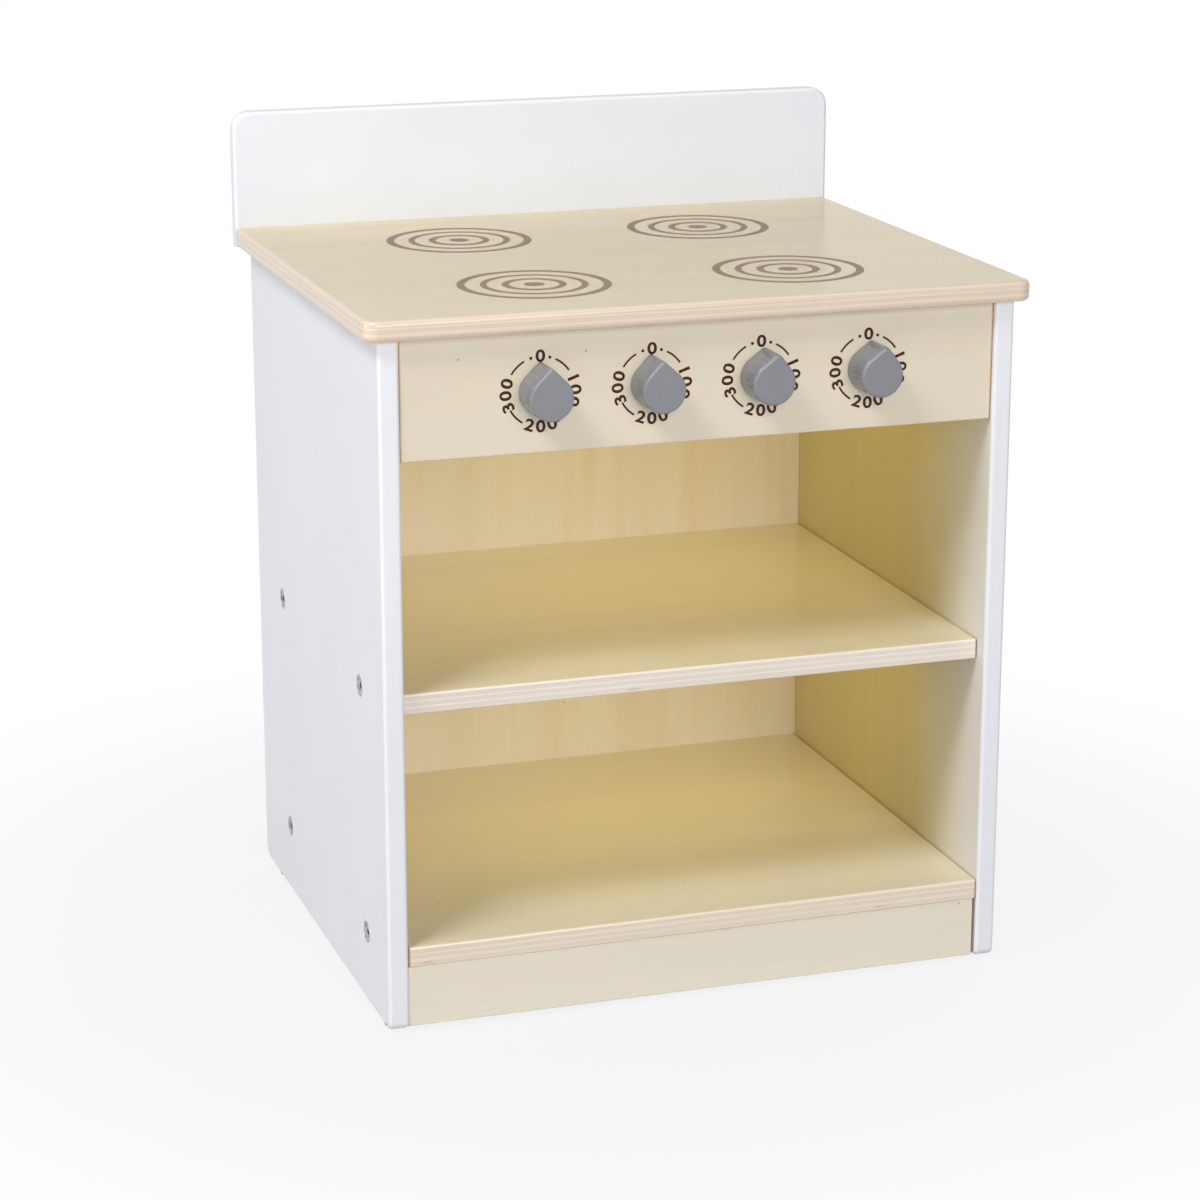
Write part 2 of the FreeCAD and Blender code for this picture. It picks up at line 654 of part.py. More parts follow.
def shelf_bolts(level):
    """Four bolts with dished socket heads, sunk flush in the side panels' outer faces."""
    body = new_body(f"{level}_shelf_bolts", "0", f"{level}_bolt_front_setback",
                    f"glide_height + {level}_shelf_middle")
    face = "-carcass_width / 2"
    length = "side_thickness + nut_from_end + nut_diameter / 2 + bolt_tail"
    rod(body, "shank", "YZ_Plane", face, "bolt_diameter", length)
    rod(body, "head", "YZ_Plane", face, "bolt_head_diameter", "bolt_head_thickness")
    outermost = body.Tip.Shape.BoundBox.XMin
    chamfer(body, "rim", lambda edge: same(edge.XMax, outermost), "bolt_head_chamfer")
    dish = body.newObject("PartDesign::SubtractiveCone", "dish")
    bind(dish, "Radius1", "bolt_dish_radius")
    bind(dish, "Radius2", "bolt_dish_floor_radius")
    bind(dish, "Height", "bolt_dish_depth")
    socket = body.newObject("PartDesign::SubtractivePrism", "socket")
    socket.Polygon = SOCKET_SIDES
    bind(socket, "Circumradius", "bolt_socket_radius")
    bind(socket, "Height", "bolt_socket_depth")
    for hollow in (dish, socket):
        hollow.AttachmentSupport = [(origin_part(body, "YZ_Plane"), "")]
        hollow.MapMode = "FlatFace"
        bind(hollow, "AttachmentOffset.Base.z", face)
    doc.recompute()
    repeat(body, "Y_Axis", f"{level}_bolt_row", 2)
    mirror_across(body)


def barrel_nuts(level):
    """Four barrel nuts upright in a shelf, cross-drilled for the bolts."""
    body = new_body(f"{level}_shelf_barrel_nuts", "nut_from_end - inner_width / 2",
                    f"{level}_bolt_front_setback", f"glide_height + {level}_shelf_underside")
    rod(body, "barrel", "XY_Plane", "nut_cover", "nut_diameter", "nut_length")
    drill(body, "thread", "YZ_Plane", "-nut_diameter", [("0", "shelf_thickness / 2")], "bolt_hole",
          "2 * nut_diameter", True)
    repeat(body, "X_Axis", "inner_width - 2 * nut_from_end", 2, "Y_Axis", f"{level}_bolt_row", 2)


def counter_cams():
    """Bolts that hang from the counter, and the discs in the side panels that draw them down."""
    top = "glide_height + side_height"
    across = "(carcass_width - side_thickness) / 2"
    bolts = new_body("counter_cam_bolts", f"-{across}", "cam_front_setback", top)
    below = "cam_drop + cam_bolt_head_height / 2"
    neck = f"cam_bolt_bite + {below} - cam_bolt_head_height"
    rod(bolts, "head", "XY_Plane", f"-({below})", "cam_bolt_head_diameter", "cam_bolt_head_height")
    rod(bolts, "neck", "XY_Plane", f"cam_bolt_head_height - ({below})", "cam_bolt_diameter", neck)
    repeat(bolts, "X_Axis", f"2 * {across}", 2, "Y_Axis", "cam_row", 2)

    discs = new_body("counter_cam_discs", "0", "cam_front_setback", f"{top} - cam_drop")
    rod(discs, "disc", "YZ_Plane", "-inner_width / 2", "cam_disc_diameter", "cam_disc_thickness", True)
    mouth = new_sketch(discs, "mouth_sketch", "XY_Plane", "cam_disc_diameter / 2")
    rectangle(mouth, f"-{across} - cam_slot / 2", f"-{across} + cam_slot / 2", "-cam_slot / 2",
              "cam_slot / 2")
    pocket(discs, "mouth", mouth, "(cam_disc_diameter + cam_bolt_head_height) / 2 + cam_slot_clearance")
    repeat(discs, "Y_Axis", "cam_row", 2)
    mirror_across(discs)


def backsplash_screws():
    """Four screws through the backsplash into the counter, heads flush behind."""
    body = new_body("backsplash_screws", "splash_screw_edge - counter_width / 2",
                    "side_depth + splash_thickness", "glide_height + side_height + counter_thickness / 2")
    rod(body, "shank", "XZ_Plane", "0", "splash_screw_diameter", "splash_thickness + splash_screw_bite")
    rod(body, "head", "XZ_Plane", "0", "splash_screw_head_diameter", "splash_screw_head_height")
    slot = new_sketch(body, "slot_sketch", "XZ_Plane", "0")
    rectangle(slot, "-splash_screw_head_diameter", "splash_screw_head_diameter", "-screw_slot_width / 2",
              "screw_slot_width / 2")
    pocket(body, "slot", slot, "screw_slot_depth", True)
    repeat(body, "X_Axis", "splash_screw_row", SPLASH_SCREWS)


def back_panel_nails():
    """Six nails through the back panel into the shelves' back edges."""
    body = new_body("back_panel_nails", "nail_edge - inner_width / 2",
                    "back_panel_front + back_panel_thickness", "glide_height + bottom_shelf_middle")
    rod(body, "head", "XZ_Plane", "0", "nail_head_diameter", "nail_head_height", True)
    rod(body, "shank", "XZ_Plane", "0", "nail_diameter", "back_panel_thickness + nail_bite")
    repeat(body, "X_Axis", "nail_row", NAILS_IN_A_ROW, "Z_Axis", "shelf_rise", 2)


def glides():
    """Round floor glides under the ends of the side panels, and their nails."""
    across = "(carcass_width - side_thickness) / 2"
    for side, x in (("left", f"-{across}"), ("right", across)):
        for end, place in (("front", "glide_front_setback"), ("back", "side_depth - glide_back_setback")):
            body = new_body(f"glide_{end}_{side}", x, place, "0")
            rod(body, "disc", "XY_Plane", "0", "glide_diameter", "glide_height")
            fillet(body, "soft_foot", lambda edge: same(edge.ZMax, 0), "glide_round")
            drill(body, "nail_hole", "XY_Plane", "glide_height", [("0", "0")],
                  "glide_nail_diameter + 2 * hole_clearance", "glide_height - glide_floor")
    nails = new_body("glide_nails", f"-{across}", "glide_front_setback", "glide_floor")
    rod(nails, "shank", "XY_Plane", "0", "glide_nail_diameter",
        "glide_height - glide_floor + glide_nail_bite")
    repeat(nails, "X_Axis", f"2 * {across}", 2, "Y_Axis", "glide_row", 2)


def joint_dowels():
    """The dowels that line up the boards."""
    into_side = "side_dowel_depth - hole_end_gap"
    left = f"-inner_width / 2 - ({into_side})"
    length = f"{into_side} + dowel_insert"
    apart = f"inner_width + {into_side} - dowel_insert"
    for level in ("middle", "bottom"):
        dowels(f"{level}_shelf_dowels", left, f"{level}_dowel_setback",
               f"glide_height + {level}_shelf_middle", "X", length, "X_Axis", apart, 2)
    dowels("control_panel_dowels", left, "control_recess + control_thickness / 2",
           "glide_height + side_height - control_height + control_dowel_edge", "X", length,
           "X_Axis", apart, 2, "Z_Axis", "control_dowel_rise", 2)
    across = "(carcass_width - side_thickness) / 2"
    dowels("counter_dowels", f"-{across}", "counter_dowel_front_setback",
           "glide_height + side_height - dowel_insert", "Z",
           "dowel_insert + counter_hole_depth - hole_end_gap",
           "X_Axis", f"2 * {across}", 2, "Y_Axis", "counter_dowel_row", 2)
    dowels("toe_board_dowels", "toe_dowel_edge - inner_width / 2", "toe_recess + toe_thickness / 2",
           "glide_height + bottom_shelf_underside - dowel_insert", "Z",
           "dowel_insert + shelf_dowel_depth - hole_end_gap", "X_Axis", "toe_dowel_row", TOE_DOWELS)


side_panel("left_side_panel", 1)
side_panel("right_side_panel", -1)
counter_top()
backsplash()
back_panel()
control_panel()
shelf("middle")
lower = shelf("bottom")
drill(lower, "toe_dowel_holes", "XY_Plane", "0",
      toe_dowel_places("toe_recess + toe_thickness / 2 - bottom_shelf_recess"), "dowel_hole",
      "shelf_dowel_depth", True)
toe_board()
for knob_name, knob_place in zip(KNOB_NAMES, knob_places()):
    knob(knob_name, knob_place)
washers("knob_front_washers", "control_recess - front_washer_thickness", "front_washer_diameter",
        "front_washer_thickness")
washers("knob_rear_washers", "control_recess + control_thickness", "rear_washer_diameter",
        "rear_washer_thickness")
for shelf_level in ("middle", "bottom"):
    shelf_bolts(shelf_level)
    barrel_nuts(shelf_level)
joint_dowels()
counter_cams()
backsplash_screws()
back_panel_nails()
glides()
doc.recompute()

for thing in doc.Objects:
    if "Invalid" in thing.State or "Error" in thing.State:
        raise RuntimeError(f"{thing.Label} failed: {thing.State}")
for body in sub_parts:
    if body.Shape.isNull() or not body.Shape.isValid():
        raise RuntimeError(f"{body.Label} has no valid shape")

os.makedirs("parts", exist_ok=True)
for body in sub_parts:
    body.Shape.exportStep(f"parts/{body.Label}.step")
print(f"{len(sub_parts)} sub-parts written")
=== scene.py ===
import math

import bpy
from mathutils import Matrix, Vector


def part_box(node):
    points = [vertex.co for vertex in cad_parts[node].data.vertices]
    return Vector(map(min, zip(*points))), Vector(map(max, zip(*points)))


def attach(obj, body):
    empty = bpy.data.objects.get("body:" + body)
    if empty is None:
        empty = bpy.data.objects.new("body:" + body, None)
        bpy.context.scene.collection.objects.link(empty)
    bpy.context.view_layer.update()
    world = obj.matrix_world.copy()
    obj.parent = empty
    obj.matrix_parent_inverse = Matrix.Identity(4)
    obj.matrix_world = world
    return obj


# Wooden toy stove: the finishes of its boards, knobs and fittings, the printed burners and dials,
# and the studio round it. Metres, +Z up, and the knobs face -Y.

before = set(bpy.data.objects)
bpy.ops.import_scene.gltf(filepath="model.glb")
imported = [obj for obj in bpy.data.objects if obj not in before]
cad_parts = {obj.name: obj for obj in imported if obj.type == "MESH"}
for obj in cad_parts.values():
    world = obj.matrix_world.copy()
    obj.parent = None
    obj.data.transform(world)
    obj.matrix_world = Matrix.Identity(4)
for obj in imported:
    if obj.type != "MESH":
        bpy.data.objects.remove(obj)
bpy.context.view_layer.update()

MM = 0.001
ACROSS, BACK, UP = 0, 1, 2
AXES = ("X", "Y", "Z")
CARCASS = "carcass"
KNOBS = ("far_left", "mid_left", "mid_right", "far_right")

# In the patterns below, a stretch is a pattern's scale along one axis and across it, a range is
# where a soft step starts and ends, and a shade is the share by which a tone is made darker or lighter.
DETAIL = 3.0
LESS_DETAIL = 2.0
LEAST_DETAIL = 1.0

# Tones of the boards, each tuned together with the lamps to look as in the photograph
SPLASH_PAINT = (0.782, 0.810, 0.872, 1.0)
# Painted light: a lighter white for the backsplash's surfaces that face up
SPLASH_PAINTED_LIGHT = (0.920, 0.925, 0.940, 1.0)
SIDE_PAINT = (0.806, 0.814, 0.866, 1.0)
COUNTER_BIRCH = (0.752, 0.622, 0.350, 1.0)
CONTROL_BIRCH = (0.738, 0.660, 0.530, 1.0)
SHELF_BIRCH = (0.795, 0.715, 0.565, 1.0)
TOE_BIRCH = (0.800, 0.735, 0.610, 1.0)
BACK_BIRCH = (0.785, 0.700, 0.570, 1.0)
SIDE_BIRCH = (0.700, 0.612, 0.365, 1.0)
COUNTER_EDGE = (0.745, 0.610, 0.485, 1.0)
MIDDLE_EDGE = (0.800, 0.720, 0.640, 1.0)
BOTTOM_EDGE = (0.790, 0.685, 0.560, 1.0)
SEAM_BROWN = (0.420, 0.260, 0.150, 1.0)
# Brown of the stain in the joints, also used as painted shade in the joint gaps
STAIN_AND_SHADE_BROWN = (0.400, 0.180, 0.040, 1.0)
KNOT_BROWN = (0.300, 0.130, 0.035, 1.0)
DUST_WHITE = (0.850, 0.840, 0.800, 1.0)

# Face veneer
BAND_STRETCH = (1.2, 14.0)
BAND_RANGE = (0.30, 0.70)
PALE_BAND = 1.025
DARK_BAND = 0.975
FLAME_STRETCH = (2.6, 44.0)
FLAME_SWIRL = 0.3
FLAME_RANGE = (0.42, 0.80)
FLAME_TINT = (0.95, 0.89, 0.72)
FIBRE_STRETCH = (12.0, 620.0)
FIBRE_RANGE = (0.45, 0.85)
FIBRE_STRENGTH = 0.6
FIBRE_SHADE = 0.96
FIBRE_RELIEF = 0.002 * MM
KNOTS_PER_METRE = 11.0
KNOT_SHARE = 0.35
KNOT_RADIUS = 1.0 * MM
KNOT_STRENGTH = 0.55
DUST_PER_METRE = 15.0
DUST_SHARE = 0.30
DUST_RADIUS = 0.9 * MM
DUST_STRENGTH = 0.8
SHEEN_STRETCH = (4.0, 60.0)
VARNISH_ROUGHNESS = 0.14
VARNISH_UNEVEN = 0.10

# Ply edges
CORE_PLIES = 7
VENEER = 0.15 * MM
WAVER_SCALE = 24.0
WAVER_PLIES = 0.40
SEAM_BREAK_STRETCH = (300.0, 9.0)
SEAM_BREAK_RANGE = (0.35, 0.65)
SEAM_RANGE = (0.16, 0.02)
SEAM_STRENGTH = 0.28
PLY_FIBRE_STRETCH = (160.0, 900.0)
PLY_STREAK_STRETCH = (900.0, 14.0)
PLY_RANGE = (0.4, 0.8)
PALE_PLY_SHADES = (1.06, 0.99)
DARK_PLY_SHADES = (0.93, 1.01)
FLECK_STRETCH = (40.0, 420.0)
FLECK_RANGE = (0.72, 0.80)
FLECK_STRENGTH = 0.45

# Stain and painted shade in the joints
BOARDS_WITHOUT_END_STAIN_AND_SHADE = ("counter_top", "toe_board")
STAIN_AND_SHADE_SCALE = 60.0
STAIN_AND_SHADE_UNEVEN_RANGE = (0.15, 0.50)
STAIN_AND_SHADE_RANGE = (1.9 * MM, 0.6 * MM)
STAIN_AND_SHADE_STRENGTH = 0.8
# Stain and painted shade along the back panel's joint on the side panels' inner faces
BACK_JOINT_STAIN_AND_SHADE_RANGE = (1.4 * MM, 0.4 * MM)
BACK_JOINT_STAIN_AND_SHADE_STRENGTH = 0.7

# Paint
PATCH_SCALE = 9.0
PATCH_RANGE = (0.35, 0.70)
PATCH_SHADE = 0.975
BRUSH_STRETCH = (6.0, 260.0)
BRUSH_RANGE = (0.55, 0.85)
BRUSH_SHADE = 0.965
RIPPLE_SCALE = 700.0
RIPPLE_RELIEF = 0.012 * MM
SPLASH_ROUGHNESS = 0.36
# Where the painted light on the backsplash's upward faces starts and ends
SPLASH_PAINTED_LIGHT_RANGE = (0.10, 0.60)
SIDE_ROUGHNESS = 0.45
NICK_SCALE = 330.0
NICK_RANGE = (0.60, 0.66)
NICK_TOP = 9 * MM
NICK_BOTTOM = 1 * MM
NICK_STRENGTH = 0.6
NICK_SHADE = 0.7

# White that fades to birch on the side panels' inner faces
SIDE_FIGURE = 0.35
FADE_REACH = 150 * MM
FADE_POWER = 0.95
FADE_STRENGTH = 0.92
FADE_UNEVEN_SCALE = 40.0
FADE_UNEVEN = 12 * MM
INNER_FACE = 0.9

# Knobs and fittings
KNOB_GREY = (0.216, 0.224, 0.247, 1.0)
KNOB_ROUGHNESS = 0.24
KNOB_PATCH_SCALE = 160.0
KNOB_PATCH_SHADE = 1.03
KNOB_SIDE_RANGE = (0.6, 0.2)
MARK_STRETCH = (12.0, 900.0)
MARK_RANGE = (0.42, 0.72)
MARK_SHADE = 0.90
MARK_RELIEF = 0.02 * MM
DARK_ZINC = (0.150, 0.170, 0.210, 1.0)
PALE_ZINC = (0.500, 0.530, 0.580, 1.0)
SPANGLE_SCALE = 420.0
SPANGLE_RANGE = (0.3, 0.7)
ZINC_ROUGHNESS = 0.20
ZINC_UNEVEN = 0.20
NYLON_WHITE = (0.720, 0.710, 0.670, 1.0)
DOWEL_BEECH = (0.620, 0.430, 0.260, 1.0)
GLIDE_RED = (0.160, 0.010, 0.022, 1.0)
DARK_MOTTLE = 0.88
PALE_MOTTLE = 1.10
MOTTLE_RELIEF = 0.02 * MM

# Prints
BURNER_INK = (0.290, 0.215, 0.140, 1.0)
DIAL_INK = (0.045, 0.012, 0.006, 1.0)
INK_DEPTH = 0.06 * MM
INK_ROUGHNESS = 0.55
INK_SPECULAR = 0.2
INK_SCALE = 300.0
THIN_INK_SHADE = 1.18
RING_SIDES = 180
BURNER_RINGS = ((51.2 * MM, 5.5 * MM), (35.9 * MM, 4.5 * MM), (21.5 * MM, 5.0 * MM))
BURNER_DOT = 6.9 * MM
BURNER_ACROSS = 89.5 * MM
BURNER_SETBACKS = {"front": 92 * MM, "back": 270.5 * MM}
DIAL_RADIUS = 23.0 * MM
DIAL_LINE = 1.30 * MM
DIAL_DOT = 1.05 * MM
DIAL_GLYPH = 10.7 * MM
DIAL_WIDEN = 1.22
DIAL_BOLD = 0.30 * MM
GLYPH_STEP = 19.5
DIAL_BOTTOM = 180
BOTTOM_REACH = 45
DIAL_NUMBERS = ((0, "0"), (90, "100"), (DIAL_BOTTOM, "200"), (267, "300"))
DIAL_ARCS = (41, 138, 227, 317)
ARC_SPAN = 28
DOT_ANGLES = (-16, 16)

# Studio
CAMERA_PLACE = (-0.739, -2.188, 0.890)
CAMERA_TURN = -18.34
CAMERA_TILT = 15.87
CAMERA_LENS = 101.4
FLOOR_SIZE = 60.0
FLOOR_GREY = (0.45, 0.45, 0.45, 1.0)
FLOOR_ROUGHNESS = 0.9
SHADOW_RANGE = (0.20, 0.75)
SHADOW_SHARE = 0.15
ROOM_WHITE = (1.0, 1.0, 1.0, 1.0)
ROOM_LIGHT = 0.15
WHITE_LIGHT = (1.0, 1.0, 1.0)
STOVE_MIDDLE = (0.0, 0.0, 0.30)
# Name, place, width, height and power in watts
SOFT_BOXES = (
    ("key_light", (-1.42, -0.92, 2.30), 0.8, 0.8, 34.0),
    ("front_light", (0.0, -2.88, 1.05), 1.8, 1.8, 51.0),
    ("side_light", (-2.95, 0.0, 0.50), 1.4, 1.4, 33.5),
)
BACK_LIGHT = ("back_light", (2.00, 2.10, 0.60), 1.6, 0.8, 56.0)
# Light that the birch boards throw back inside the two compartments: name, height and power
BIRCH_LIGHT = (1.0, 0.87, 0.21)
FILLS = (("upper_fill", 0.455, 0.205), ("lower_fill", 0.213, 0.132))
FILL_PLACE = (0.02, 0.03)
FILL_WIDTH = 0.34
FILL_DEPTH = 0.20


def start_finish(name):
    """Start a finish: its material, its node tree and its shader."""
    material = bpy.data.materials.new(name)
    material.use_nodes = True
    tree = material.node_tree
    return material, tree, tree.nodes["Principled BSDF"]


def plug(tree, socket, value):
    """Link a socket to another node's output, or set it to a plain value."""
    if isinstance(value, bpy.types.NodeSocket):
        tree.links.new(value, socket)
    else:
        socket.default_value = value


def spot_on_stove(tree):
    return tree.nodes.new("ShaderNodeTexCoord").outputs["Object"]


def along(tree, vector, axis):
    parts = tree.nodes.new("ShaderNodeSeparateXYZ")
    plug(tree, parts.inputs["Vector"], vector)
    return parts.outputs[AXES[axis]]


def facing(tree, axis):
    """How much the surface faces along an axis."""
    normal = tree.nodes.new("ShaderNodeTexCoord").outputs["Normal"]
    return along(tree, normal, axis)


def work_out(tree, operation, *values):
    node = tree.nodes.new("ShaderNodeMath")
    node.operation = operation
    for socket, value in zip(node.inputs, values):
        plug(tree, socket, value)
    return node.outputs["Value"]


def soft_step(tree, value, low, high):
    """0 at low, 1 at high, smooth between them; low may be the larger one."""
    node = tree.nodes.new("ShaderNodeMapRange")
    node.interpolation_type = "SMOOTHSTEP"
    plug(tree, node.inputs["Value"], value)
    plug(tree, node.inputs["From Min"], min(low, high))
    plug(tree, node.inputs["From Max"], max(low, high))
    plug(tree, node.inputs["To Min"], 0.0 if low < high else 1.0)
    plug(tree, node.inputs["To Max"], 1.0 if low < high else 0.0)
    return node.outputs["Result"]


def stretched(tree, vector, scale):
    """The same place on a pattern that is stretched where its scale is small."""
    node = tree.nodes.new("ShaderNodeMapping")
    plug(tree, node.inputs["Vector"], vector)
    plug(tree, node.inputs["Scale"], scale)
    return node.outputs["Vector"]


def clouds(tree, vector, scale=1.0, detail=DETAIL, swirl=0.0):
    node = tree.nodes.new("ShaderNodeTexNoise")
    plug(tree, node.inputs["Vector"], vector)
    plug(tree, node.inputs["Scale"], scale)
    plug(tree, node.inputs["Detail"], detail)
    plug(tree, node.inputs["Distortion"], swirl)
    return node.outputs["Fac"]


def grain_scale(axis, lengthwise, crosswise):
    scale = [crosswise, crosswise, crosswise]
    scale[axis] = lengthwise
    return scale


def long_clouds(tree, spot, axis, stretch, detail=DETAIL, swirl=0.0):
    """Clouds drawn out along an axis, or pressed together along it."""
    return clouds(tree, stretched(tree, spot, grain_scale(axis, *stretch)), detail=detail, swirl=swirl)


def blend(tree, amount, first, second):
    node = tree.nodes.new("ShaderNodeMixRGB")
    plug(tree, node.inputs["Fac"], amount)
    plug(tree, node.inputs["Color1"], first)
    plug(tree, node.inputs["Color2"], second)
    return node.outputs["Color"]


def shade_of(colour, share):
    """A colour made darker or lighter by a share."""
    return (colour[0] * share, colour[1] * share, colour[2] * share, 1.0)


def relief(tree, shader, height, depth):
    node = tree.nodes.new("ShaderNodeBump")
    plug(tree, node.inputs["Height"], height)
    plug(tree, node.inputs["Distance"], depth)
    tree.links.new(node.outputs["Normal"], shader.inputs["Normal"])


def spots(tree, spot, face, per_metre, share, radius):
    """Sparse little round spots on the board's faces: a share of the cells of a grid has one each."""
    flat = tree.nodes.new("ShaderNodeCombineXYZ")
    sideways, upward = [axis for axis in (ACROSS, BACK, UP) if axis != face]
    plug(tree, flat.inputs["X"], along(tree, spot, sideways))
    plug(tree, flat.inputs["Y"], along(tree, spot, upward))
    cells = tree.nodes.new("ShaderNodeTexVoronoi")
    cells.voronoi_dimensions = "2D"
    plug(tree, cells.inputs["Vector"], flat.outputs["Vector"])
    plug(tree, cells.inputs["Scale"], per_metre)
    chosen = work_out(tree, "LESS_THAN", along(tree, cells.outputs["Color"], ACROSS), share)
    reach = radius * per_metre
    near = soft_step(tree, cells.outputs["Distance"], reach, reach / 2)
    return work_out(tree, "MULTIPLY", chosen, near)


def birch_colour(tree, spot, tone, grain, face, figure):
    """The varnished face veneer: soft bands and flames along the grain, fine fibres, a few pin knots."""
    bands = long_clouds(tree, spot, grain, BAND_STRETCH)
    flames = long_clouds(tree, spot, grain, FLAME_STRETCH, swirl=FLAME_SWIRL)
    fibres = long_clouds(tree, spot, grain, FIBRE_STRETCH, LESS_DETAIL)
    band = soft_step(tree, bands, *BAND_RANGE)
    colour = blend(tree, band, shade_of(tone, PALE_BAND), shade_of(tone, DARK_BAND))
    flame_tone = (tone[0] * FLAME_TINT[0], tone[1] * FLAME_TINT[1], tone[2] * FLAME_TINT[2], 1.0)
    flame = work_out(tree, "MULTIPLY", soft_step(tree, flames, *FLAME_RANGE), figure)
    colour = blend(tree, flame, colour, flame_tone)
    fibre = work_out(tree, "MULTIPLY", soft_step(tree, fibres, *FIBRE_RANGE), FIBRE_STRENGTH)
    colour = blend(tree, fibre, colour, shade_of(tone, FIBRE_SHADE))
    knots = spots(tree, spot, face, KNOTS_PER_METRE, KNOT_SHARE, KNOT_RADIUS)
    knot = work_out(tree, "MULTIPLY", knots, KNOT_STRENGTH)
    return blend(tree, knot, colour, KNOT_BROWN), fibres


def ply_edge(tree, spot, tone, level, grain, face):
    """The board's edge: pale and darker plies by turns, thin glue lines between them, a few flecks."""
    cross = [axis for axis in (ACROSS, BACK, UP) if axis not in (grain, face)][0]
    turn = work_out(tree, "MODULO", work_out(tree, "FLOOR", level), 2.0)
    share = work_out(tree, "FRACT", level)
    from_line = work_out(tree, "MINIMUM", share, work_out(tree, "SUBTRACT", 1.0, share))
    breaks = long_clouds(tree, spot, face, SEAM_BREAK_STRETCH)
    broken = soft_step(tree, breaks, *SEAM_BREAK_RANGE)
    line = work_out(tree, "MULTIPLY", soft_step(tree, from_line, *SEAM_RANGE), broken)
    fibres = soft_step(tree, long_clouds(tree, spot, cross, PLY_FIBRE_STRETCH, LESS_DETAIL), *PLY_RANGE)
    streaks = soft_step(tree, long_clouds(tree, spot, face, PLY_STREAK_STRETCH), *PLY_RANGE)
    pale = blend(tree, streaks, *[shade_of(tone, shade) for shade in PALE_PLY_SHADES])
    dark = blend(tree, fibres, *[shade_of(tone, shade) for shade in DARK_PLY_SHADES])
    colour = blend(tree, turn, pale, dark)
    colour = blend(tree, work_out(tree, "MULTIPLY", line, SEAM_STRENGTH), colour, SEAM_BROWN)
    flecks = long_clouds(tree, spot, grain, FLECK_STRETCH, LEAST_DETAIL)
    fleck = work_out(tree, "MULTIPLY", soft_step(tree, flecks, *FLECK_RANGE), turn)
    return blend(tree, work_out(tree, "MULTIPLY", fleck, FLECK_STRENGTH), colour, KNOT_BROWN)


def end_stain_and_shade(tree, spot, colour, low, high):
    """Brown stain and painted shade in the joints, along the board's left and right ends."""
    place = along(tree, spot, ACROSS)
    from_left = work_out(tree, "SUBTRACT", place, low[ACROSS])
    from_right = work_out(tree, "SUBTRACT", high[ACROSS], place)
    from_end = work_out(tree, "MINIMUM", from_left, from_right)
    uneven = soft_step(tree, clouds(tree, spot, STAIN_AND_SHADE_SCALE), *STAIN_AND_SHADE_UNEVEN_RANGE)
    stain_and_shade = work_out(tree, "MULTIPLY", soft_step(tree, from_end, *STAIN_AND_SHADE_RANGE), uneven)
    return blend(tree, work_out(tree, "MULTIPLY", stain_and_shade, STAIN_AND_SHADE_STRENGTH), colour, STAIN_AND_SHADE_BROWN)


def plywood(node, tone, edge_tone, grain, face, figure):
    """Varnished birch plywood, drawn through the whole board: face veneers outside, plies between."""
    material, tree, shader = start_finish(f"{node}_birch")
    spot = spot_on_stove(tree)
    low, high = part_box(node)
    thickness = high[face] - low[face]
    depth = work_out(tree, "SUBTRACT", along(tree, spot, face), low[face])
    from_face = work_out(tree, "MINIMUM", depth, work_out(tree, "SUBTRACT", thickness, depth))
    wander = clouds(tree, spot, WAVER_SCALE, LESS_DETAIL)
    waver = work_out(tree, "MULTIPLY_ADD", wander, WAVER_PLIES, -WAVER_PLIES / 2)
    level = work_out(tree, "MULTIPLY_ADD", depth, CORE_PLIES / thickness, waver)
    veneer, fibres = birch_colour(tree, spot, tone, grain, face, figure)
    inside = soft_step(tree, from_face, 0.6 * VENEER, 1.4 * VENEER)
    colour = blend(tree, inside, veneer, ply_edge(tree, spot, edge_tone, level, grain, face))
    if node == "bottom_shelf":
        dust = spots(tree, spot, face, DUST_PER_METRE, DUST_SHARE, DUST_RADIUS)
        colour = blend(tree, work_out(tree, "MULTIPLY", dust, DUST_STRENGTH), colour, DUST_WHITE)
    # Stain and painted shade in the joints at the board's ends
    if node not in BOARDS_WITHOUT_END_STAIN_AND_SHADE:
        colour = end_stain_and_shade(tree, spot, colour, low, high)
    plug(tree, shader.inputs["Base Color"], colour)
    sheen = long_clouds(tree, spot, grain, SHEEN_STRETCH, LESS_DETAIL)
    roughness = work_out(tree, "MULTIPLY_ADD", sheen, VARNISH_UNEVEN, VARNISH_ROUGHNESS)
    plug(tree, shader.inputs["Roughness"], roughness)
    relief(tree, shader, fibres, FIBRE_RELIEF)
    return material


def painted_surface(tree, spot, paint):
    """White paint over wood: faint uneven tone and the paint film's fine ripple."""
    patches = soft_step(tree, clouds(tree, spot, PATCH_SCALE), *PATCH_RANGE)
    lines = soft_step(tree, long_clouds(tree, spot, UP, BRUSH_STRETCH, LESS_DETAIL), *BRUSH_RANGE)
    colour = blend(tree, patches, paint, shade_of(paint, PATCH_SHADE))
    colour = blend(tree, lines, colour, shade_of(paint, BRUSH_SHADE))
    ripple = clouds(tree, spot, RIPPLE_SCALE, LESS_DETAIL)
    return colour, ripple


